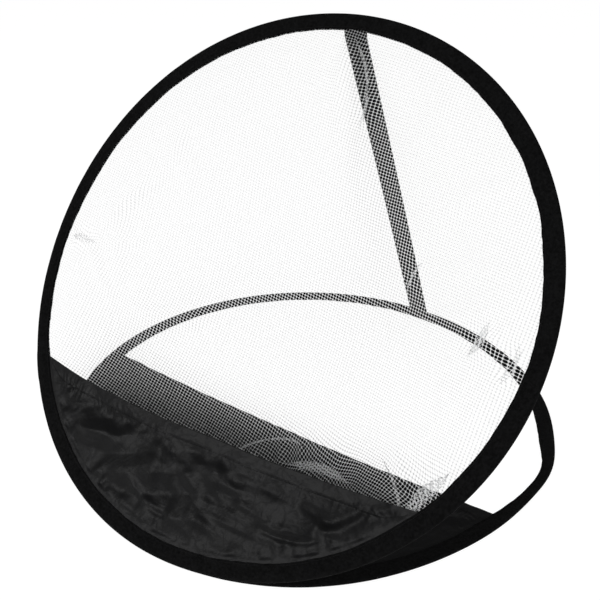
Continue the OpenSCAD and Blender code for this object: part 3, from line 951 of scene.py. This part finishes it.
class CHIPNET_OT_net(Operator):
    """Knits the net cell by cell, hangs it in the hoop as a slack bag and folds it"""
    bl_idname = "chipnet.net"
    bl_label = "Net"

    def execute(self, context):
        s = sizes()
        net = s.net
        reach = HOOP_R - s.binding.width - 4 * MM
        rim = reach + 6.6 * MM
        out, cloth = measured(reach)
        radius = float(cloth[:, -1].max() + (rim - reach) + net.across)
        finish = material("White mesh")
        knitted = piece("net", *cell_mesh(net.across, net.down, net.thread, net.knot), finish)
        slope = tan(net.row_tilt)
        run_tree(
            knitted, once("Knitted mesh", mesh_tree), Across=net.across, Down=net.down,
            Columns=2 * int(radius / net.across) + 3, Rows=2 * int(radius * (1 + slope) / net.down) + 3,
            Slope=slope, Radius=radius, Finish=finish,
        )
        mesh = knitted.data
        flat = read(mesh.vertices, "co", float, 3).reshape(-1, 3)[:, :2]
        faces = read(mesh.loops, "vertex_index")
        starts, counts = read(mesh.polygons, "loop_start"), read(mesh.polygons, "loop_total")
        bpy.data.objects.remove(knitted)

        r, phi = bagged(flat, out, cloth)
        kept = np.minimum.reduceat(r[faces], starts) < rim - 0.2 * MM
        r = np.minimum(r, rim)
        in_slot = step(r, reach, reach + 3 * MM)
        x, y, lift = pleated(r * np.cos(phi), r * np.sin(phi), reach)
        n = (net_relief(x, y, reach) + lift) * (1 - in_slot) - 0.45 * MM * in_slot
        places = on_hoop("front", np.hypot(x, y), np.arctan2(y, x), n)

        # one cloth, kept as a left and a right half
        middle = np.add.reduceat(x[faces], starts) / counts
        for side, chosen in (("left", kept & (middle < 0)), ("right", kept & (middle >= 0))):
            loops = [faces[a:a + c] for a, c in zip(starts[chosen], counts[chosen])]
            used, index = np.unique(np.concatenate(loops), return_inverse=True)
            corners = np.split(index, np.cumsum(counts[chosen])[:-1])
            obj = piece(f"net_{side}", places[used], corners, finish, flat[used])
            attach(obj, "front")
            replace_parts(obj, "net")
            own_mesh(obj)
        return {"FINISHED"}


# ---------- aprons ----------

# Folds of the aprons: two ends in the hoop's plane, width, height, all in millimetres.
FRONT_FOLDS = (
    (-152, -185, -107, -186, 5, 1.6), (-153, -180, -102, -169, 4, 1.4), (-153, -190, -112, -212, 4, 1.8),
    (-140, -191, -103, -218, 2.6, -2.4), (-152, -184, -121, -202, 2.4, -2.2),
    (79, -198, 132, -181, 3.2, -2.6), (132, -181, 171, -167, 2.8, -2.2),
    (-30, -218, -12, -220, 3, -1.6), (-61, -202, -20, -214, 3.6, 1.6),
    (-100, -205, -30, -226, 5, 1.4), (10, -205, 70, -222, 6, 1.4),
    (20, -170, 90, -166, 9, 1.8), (-40, -160, -34, -190, 8, 1.4), (100, -156, 118, -178, 7, 1.5),
)
# Facets that face away: two ends, width and height, in millimetres.
FRONT_FACETS = (
    (-135, -163, -76, -166, 12, -4.2), (-160, -171, -142, -168, 5, -1.8), (-90, -216, -60, -222, 9, -3.6),
    (128, -176, 158, -152, 7, -2.6), (86, -192, 98, -188, 6, -1.4), (166, -150, 180, -142, 5, -1.6),
    (-209, -134, -174, -149, 5, -1.6), (20, -160, 44, -176, 7, -1.6),
)
BASE_FOLDS = (
    (-150, -75, -110, -190, 12, 1.4), (-40, -80, -30, -230, 14, 1.2), (60, -75, 90, -215, 12, 1.2),
    (150, -75, 160, -170, 10, 1.4), (190, -80, 176, -150, 6, 1.4), (110, -150, 190, -110, 8, 1.2),
)
# The hem's seam runs this far inside its turned edge.
HEM_SEAM_IN = 1.2 * MM


def apron(name, which, height, rise, slant, lift, folds, facets, sag, cols, rows):
    """A segment of cloth across the bottom of a hoop, with a turned hem on its free edge."""
    s = sizes()
    a = s.apron
    is_front = which == "front"
    seed = s.stage.seed + (100 if is_front else 130)
    lips = HOOP_R - s.binding.width
    rim, free = lips + 3.4 * MM, lips - 1.5 * MM
    edge_y = height - HOOP_R
    half_chord = sqrt(rim ** 2 - (edge_y + rise) ** 2)

    def edge(x):
        return edge_y + rise * np.abs(x / half_chord) ** 2.5 + tan(slant) * x

    ends = [-half_chord, half_chord]
    for _ in range(8):
        ends = [copysign(sqrt(rim ** 2 - edge(x) ** 2) - 1.5 * MM, x) for x in ends]
    spread = (ends[1] - ends[0]) / 2
    x = (ends[0] + ends[1]) / 2 + spread * np.sin(np.linspace(-1, 1, cols) * pi / 2)[:, None]
    top = edge(x) + 0.8 * MM * soft_noise(x / 0.05, 0, seed)
    tall = np.maximum(top + np.sqrt(np.maximum(0, rim ** 2 - x ** 2)), 0)
    down = tall * np.linspace(0, 1, rows)
    y = top - down
    r, phi = np.hypot(x, y), np.arctan2(y, x)
    run, deep = phi * HOOP_R, free - r
    hem = np.minimum(a.hem, tall / 2.5)
    loose = step(deep, 0, 22 * MM)
    below = step(down, hem * 0.4, hem + 10 * MM)

    def beside_lips(near, out, far):
        """1 just inside the binding's lips, fading towards them and from out to far millimetres inwards."""
        return step(deep, 0, near * MM) * step(-deep, -far * MM, -out * MM)

    n = lift + sag * step(deep, 0, 90 * MM)
    n = n + loose * (sum(ridge(x, y, fold) for fold in folds) + sum(facet(x, y, fold) for fold in facets))
    crumple = a.crumple * (1 if is_front else 0.6) * loose
    # creases run along the cloth more than across it
    n = n + crumple * creases(0.6 * x, y, seed, 6, 0.040) * (0.3 + 0.7 * below)
    n = n + 0.32 * crumple * creases(0.6 * x, y, seed + 9, 6, 0.012) * (0.4 + 0.6 * below)
    # the seams gather the cloth into small puckers that die away from them
    n = n + 0.7 * MM * creases(run, 0.5 * r, seed + 3, 4, 0.009) * beside_lips(5, 4, 22)
    if is_front:
        # on the front hoop they also draw it down beside the lips
        drawn = np.clip(0.5 + 0.9 * soft_noise(run / 0.011, 5, seed + 8), 0, 1) * step(-np.sin(phi), 0.3, 0.6)
        n = n - 1.3 * MM * drawn * beside_lips(4, 6, 30)
    often = 0.3 + 0.7 * step(-x, 0.03, 0.09) + 0.4 * step(x, 0.11, 0.15)
    near_seam = np.exp(-((down - hem) / (6 * MM)) ** 2)
    n = n + a.pucker * creases(x, 0.7 * down, seed + 5, 5, 0.006) * often * near_seam * loose
    n = n + 0.35 * MM * soft_noise(x / 0.012, down / 0.02, seed + 7) * step(-down, -hem, 0) * loose

    # the hem is double, and the thread pulls a groove along its seam
    level = hem - HEM_SEAM_IN
    double = step(-down, -(hem + 0.4 * MM), -(hem - 0.4 * MM)) * loose
    pull = 0.7 + 0.3 * np.cos(2 * pi * x / a.stitch)
    groove = np.exp(-((down - level) / (0.95 * MM)) ** 2) * pull * loose
    front = n + a.cloth / 2 + a.cloth * 1.1 * double - 0.75 * MM * groove
    back = n - a.cloth / 2 + 0.12 * MM * groove
    if not is_front:
        lowest = 0.3 * MM - s.binding.thick / 2
        back, front = np.maximum(back, lowest), np.maximum(front, lowest + a.cloth)

    count = cols * rows
    upper = grid_faces(cols, rows)[:, ::-1]
    at = np.arange(count).reshape(cols, rows)
    ring = np.concatenate([at[:, 0], at[-1, 1:], at[-2::-1, -1], at[0, -2:0:-1]])
    after = np.roll(ring, -1)
    wall = np.stack([ring, after, after + count, ring + count], -1)
    flat = pairs(x, y).reshape(-1, 2)
    obj = piece(
        name, np.stack([on_hoop(which, r, phi, face) for face in (front, back)]),
        np.concatenate([upper, upper[:, ::-1] + count, wall]), material("Black polyester"),
        np.concatenate([flat, flat]),
    )
    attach(obj, which)

    # the hem's thread, one row just inside its edge and seen on both faces
    picked = (x[:, 0] > ends[0] + 9 * MM) & (x[:, 0] < ends[1] - 9 * MM)
    px, py = x[picked, 0], (top - level)[picked, 0]
    at_r, at_phi = np.hypot(px, py), np.arctan2(py, px)
    j = np.clip(level / np.maximum(tall, 1e-6) * (rows - 1), 0, rows - 2)
    low = j.astype(int)
    lines, ups = [], []
    for face, side in ((front, 1), (back, -1)):
        here, beyond = (np.take_along_axis(face, low + k, 1) for k in (0, 1))
        face = (here * (1 - (j - low)) + beyond * (j - low))[picked, 0]
        line, out = (on_hoop(which, at_r, at_phi, face + side * high * MM) for high in (0.08, 1))
        lines.append(line)
        ups.append(out - line)
    thread = stitch_row(f"{name}_hem_seam", lines, ups, a.stitch, 0.32 * MM, which, seed=seed)

    # the cut is a segment of a circle, with the hem's turning along its straight edge
    wide, tall_at = np.diff(x[:, 0]), tall[:, 0]
    cut = ((tall_at[1:] + tall_at[:-1]) / 2 * wide).sum() + (hem[1:, 0] * wide).sum()
    return obj


class CHIPNET_OT_aprons(Operator):
    """Makes the two crumpled cloth aprons, with their hems and seams"""
    bl_idname = "chipnet.aprons"
    bl_label = "Aprons"

    def execute(self, context):
        a = sizes().apron
        front = apron(
            "front_skirt", "front", a.front_height, a.front_rise, slant=0, lift=0.45 * MM,
            folds=FRONT_FOLDS, facets=FRONT_FACETS, sag=0.6 * MM, cols=330, rows=84,
        )
        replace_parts(front, "front_apron")
        base = apron(
            "base_skirt", "base", a.base_depth, a.base_rise, slant=a.base_slant, lift=0,
            folds=BASE_FOLDS, facets=(), sag=-1.7 * MM, cols=300, rows=110,
        )
        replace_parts(base, "base_apron")
        return {"FINISHED"}


# ---------- strap and hinge tape ----------

# How far the strap's ends reach over the binding's lips and past them, and half the size of its tacks.
OVER_LIPS, PAST_LIPS = 7.4 * MM, 0.6 * MM
TACK_IN, TACK_HALF, TACK_OUT = 2.4 * MM, 2.8 * MM, 0.72 * MM
STRAP_STEPS = 240
# The tape lies this far off the bindings that it joins.
TAPE_OFF = 0.1 * MM


def smooth_path(points, count):
    """Evenly spaced points along a path with its bends eased, and the path's length."""
    points = np.asarray(points, float)
    for _ in range(3):
        cut = np.empty((2 * len(points), 3))
        cut[0], cut[-1] = points[0], points[-1]
        cut[1:-1:2] = points[:-1] * 0.75 + points[1:] * 0.25
        cut[2:-1:2] = points[:-1] * 0.25 + points[1:] * 0.75
        points = cut
    run = run_of(points)
    even = np.linspace(0, run[-1], count)
    return np.stack([np.interp(even, run, points[:, k]) for k in range(3)], 1), run[-1]


def webbing_strip(name, path, width, thick, finish):
    """A flat strip with soft edges along a path, its width along X."""
    along = unit(np.gradient(path, axis=0))
    side = unit(np.array((1.0, 0, 0)) - along * along[:, :1])
    up = np.cross(side, along)
    u = np.concatenate([np.linspace(-1, 1, 15), np.linspace(1, -1, 15)])
    lift = np.sqrt(np.clip(1 - np.abs(u) ** 14, 0, 1)) * np.repeat([1, -1], 15)
    over, high = u[:, None] * width / 2, lift[:, None] * thick / 2
    rings = path[:, None] + side[:, None] * over + up[:, None] * high
    return tube(name, rings, material(finish), pairs(run_of(path)[:, None], (u * width / 2)[None]))


class CHIPNET_OT_strap(Operator):
    """Makes the webbing strap between the hoops' backs and tacks both its ends down"""
    bl_idname = "chipnet.strap"
    bl_label = "Strap"

    def execute(self, context):
        s = sizes()
        w, t = s.strap.width, s.strap.thick
        back = radians(90)
        lo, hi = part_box("strap")
        lips = HOOP_R - s.binding.width
        # both ends are sewn over the binding's thin lips, so that they fit between the folded hoops
        clear = 0.27 * s.binding.thick + t / 2
        ends = ((lips + OVER_LIPS, clear + 0.3 * MM), (lips - PAST_LIPS, clear))
        foot = [on_hoop("base", r, back, h) for r, h in ends]
        head = [on_hoop("front", r, back, -h) for r, h in ends[::-1]]
        for p in foot + head:
            p[0] = (lo.x + hi.x) / 2 - 0.9 * MM
        middle = (foot[1] + head[0]) / 2 + np.array([0, 0.0012, -0.0008])
        near = [0.9 * p + 0.1 * middle for p in (foot[1], head[0])]
        path, run = smooth_path([*foot, near[0], middle, near[1], *head], STRAP_STEPS)
        path[:, 1] += 0.25 * MM * np.sin(np.linspace(0, run, STRAP_STEPS) / 0.09)
        obj = webbing_strip("rear_strap", path, w, t, "Black webbing")
        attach(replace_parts(obj, "strap"), "base")
        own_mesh(obj)
        across = np.array([1.0, 0, 0])
        tacks = (("strap_foot_tack", "base", foot), ("strap_head_tack", "front", head))
        for name, body, (start, end) in tacks:
            direction = unit(end - start)
            normal = np.cross(across, direction)
            lines, ups = [], []
            for face in (1, -1):
                corners = [
                    (start + end) / 2 + across * a * (w / 2 - TACK_IN) + direction * b * TACK_HALF
                    + normal * face * TACK_OUT
                    for a, b in ((-1, -1), (1, -1), (1, 1), (-1, 1))
                ]
                # a box with a cross in it
                for a, b in ((0, 1), (1, 2), (2, 3), (3, 0), (0, 2), (1, 3)):
                    lines.append(np.linspace(corners[a], corners[b], 9))
                    ups.append(normal * face)
            tack = stitch_row(name, lines, ups, 2.2 * MM, 0.4 * MM, body, seed=11)
        return {"FINISHED"}


class CHIPNET_OT_hinge_tape(Operator):
    """Makes the folded tape that sews the two hoops together along the hinge"""
    bl_idname = "chipnet.hinge_tape"
    bl_label = "Hinge Tape"

    def execute(self, context):
        s = sizes().strap
        t = s.tape_thick
        # the middle of each leg, over the base binding and behind the front one
        thick = sizes().binding.thick
        above = thick + TAPE_OFF + t / 2 - HINGE.z
        behind = (FRONT_CENTRE - HINGE).dot(OFF_HOOP) - thick / 2 - TAPE_OFF - t / 2
        v = (above - behind * cos(OPEN_ANGLE)) / sin(OPEN_ANGLE)
        mid = UP_HOOP * v + OFF_HOOP * behind
        low = [Vector((0, y, above)) for y in np.linspace(s.tape_width, mid.y + 1.2 * MM, 9)]
        high = [UP_HOOP * u + OFF_HOOP * behind for u in np.linspace(v + 1.2 * MM, s.tape_width, 9)]
        fold = [low[-1].lerp(mid, 0.6), mid, high[0].lerp(mid, 0.6)]
        line = np.array([tuple(HINGE + p) for p in low + fold + high])
        x = np.linspace(-1, 1, 61)[:, None] * s.tape_length / 2
        off = np.cross((1, 0, 0), unit(np.gradient(line, axis=0))) * t / 2
        loop = np.concatenate([line + off, (line - off)[::-1]])
        run = run_of(loop)
        rings = loop[None] + x[:, :, None] * (1, 0, 0)
        obj = tube("hinge_binding", rings, material("Black tape"), pairs(x, run[None]))
        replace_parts(obj, "hinge_tape")
        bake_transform(obj)
        return {"FINISHED"}


# ---------- stage ----------

CAMERA_PLACE = (0.4101, -0.6485, 0.5532)
CAMERA_YAW, CAMERA_PITCH, CAMERA_ROLL = radians(-33.34), radians(28.64), radians(-0.01)
CAMERA_LENS, CAMERA_SHIFT = 52.41, (-0.0017, 0.0022)
FLOOR_REACH, FLOOR_Z = 4.0, -0.0002
# The floor's own glow to the camera, what it takes of the lamps there, and the paper that the rest see.
FLOOR_GLOW, FLOOR_LIT, FLOOR_PAPER = 0.94, 0.16, 0.8


def grey(value):
    return (value, value, value, 1)


def camera_turn():
    ahead = Vector((
        sin(CAMERA_YAW) * cos(CAMERA_PITCH), cos(CAMERA_YAW) * cos(CAMERA_PITCH), -sin(CAMERA_PITCH)
    ))
    right = Vector((cos(CAMERA_YAW), -sin(CAMERA_YAW), 0))
    up = right.cross(ahead)
    c, s = cos(CAMERA_ROLL), sin(CAMERA_ROLL)
    right, up = right * c + up * s, up * c - right * s
    return Matrix((right, up, -ahead)).transposed().to_4x4()


def lamp(name, place, target, size, power):
    light = bpy.data.lights.new(name, "AREA")
    light.shape, light.size, light.energy = "DISK", size, power
    obj = linked(name, light)
    obj.location = place
    obj.rotation_euler = (Vector(target) - Vector(place)).to_track_quat("-Z", "Y").to_euler()


def emptied(owner):
    """The wiring of a material's or world's own tree, cleared."""
    owner.use_nodes = True
    owner.node_tree.nodes.clear()
    return Wiring(owner.node_tree)


class CHIPNET_OT_stage(Operator):
    """Sets up the pale floor, the soft lamps and the camera"""
    bl_idname = "chipnet.stage"
    bl_label = "Stage"

    def execute(self, context):
        s = sizes().stage
        scene = context.scene
        # to the camera the floor glows white and still takes shadows; to the rest it is pale paper
        paper = bpy.data.materials.new("Studio floor")
        w = emptied(paper)
        seen = w.add("ShaderNodeLightPath").outputs
        seen = w.math("MAXIMUM", w.math("MAXIMUM", seen["Is Camera Ray"], seen["Is Glossy Ray"]),
                      seen["Is Transmission Ray"])
        glow = w.add("ShaderNodeAddShader", {
            0: w.add("ShaderNodeEmission", {"Color": grey(1), "Strength": FLOOR_GLOW}),
            1: w.add("ShaderNodeBsdfDiffuse", {"Color": grey(FLOOR_LIT)}),
        })
        plain = w.add("ShaderNodeBsdfDiffuse", {"Color": grey(FLOOR_PAPER)})
        w.add("ShaderNodeOutputMaterial", {"Surface": w.mixed(seen, plain, glow)})
        square = ((-1, -1), (1, -1), (1, 1), (-1, 1))
        corners = [(x * FLOOR_REACH, y * FLOOR_REACH, FLOOR_Z) for x, y in square]
        piece("studio_floor", corners, [(0, 1, 2, 3)], paper)

        world = scene.world = bpy.data.worlds.new("Studio")
        w = emptied(world)
        seen = w.add("ShaderNodeLightPath").outputs
        seen = w.math("MAXIMUM", seen["Is Camera Ray"], seen["Is Transmission Ray"])
        room, bright = (
            w.add("ShaderNodeBackground", {"Color": grey(1), "Strength": power}) for power in (s.room, 1.0)
        )
        w.add("ShaderNodeOutputWorld", {"Surface": w.mixed(seen, room, bright)})

        lamp("Key", (-0.72, -1.75, 1.02), (0, -0.1, 0.1), 1.1, s.key)
        lamp("Fill", (1.5, -0.5, 0.8), (0, 0, 0.15), 1.1, s.fill)
        camera = bpy.data.cameras.new("Camera")
        camera.lens, camera.sensor_width = CAMERA_LENS, 36
        camera.shift_x, camera.shift_y = CAMERA_SHIFT
        camera.clip_start = 0.01
        scene.camera = linked("Camera", camera)
        scene.camera.matrix_world = Matrix.Translation(CAMERA_PLACE) @ camera_turn()
        scene.view_settings.view_transform = "Standard"
        return {"FINISHED"}


# ---------- the add-on ----------

OPERATORS = (
    CHIPNET_OT_springs, CHIPNET_OT_bindings, CHIPNET_OT_net, CHIPNET_OT_aprons,
    CHIPNET_OT_strap, CHIPNET_OT_hinge_tape, CHIPNET_OT_stage,
)


class CHIPNET_PT_panel(Panel):
    """Lists the pieces of the chipping net"""
    bl_idname = "CHIPNET_PT_panel"
    bl_label = "Chipping Net"
    bl_space_type = "VIEW_3D"
    bl_region_type = "UI"
    bl_category = "Chipping Net"

    def draw(self, context):
        for operator in OPERATORS:
            self.layout.operator(operator.bl_idname)
        for group in ("front_hoop", "base_hoop", "binding", "net", "apron", "strap", "finish", "stage"):
            values = getattr(context.scene.chipping_net, group)
            box = self.layout.box()
            box.label(text=group.replace("_", " ").capitalize())
            for key in values.bl_rna.properties.keys():
                if key not in ("rna_type", "name"):
                    box.prop(values, key)


CLASSES = (
    HoopShape, BindingSizes, NetSizes, ApronSizes, StrapSizes, Finishes, StageSizes, ChippingNet,
    *OPERATORS, CHIPNET_PT_panel,
)


def register():
    for item in CLASSES:
        bpy.utils.register_class(item)
    bpy.types.Scene.chipping_net = PointerProperty(type=ChippingNet)


def unregister():
    del bpy.types.Scene.chipping_net
    for item in reversed(CLASSES):
        bpy.utils.unregister_class(item)


def set_base_hoop():
    """The base hoop's own out-of-round: it lies flat, so it has no warp."""
    hoop = sizes().base_hoop
    hoop.oval, hoop.oval_at = 0.0009, radians(81)
    hoop.three_lobes, hoop.three_at = 0.0020, radians(31.3)
    hoop.four_lobes, hoop.four_at = 0.0012, radians(15)
    hoop.warp = hoop.ripple = hoop.uneven = 0


def main():
    register()
    set_base_hoop()
    for operator in OPERATORS:
        group, name = operator.bl_idname.split(".")
        getattr(getattr(bpy.ops, group), name)()


if __name__ == "__main__":
    main()
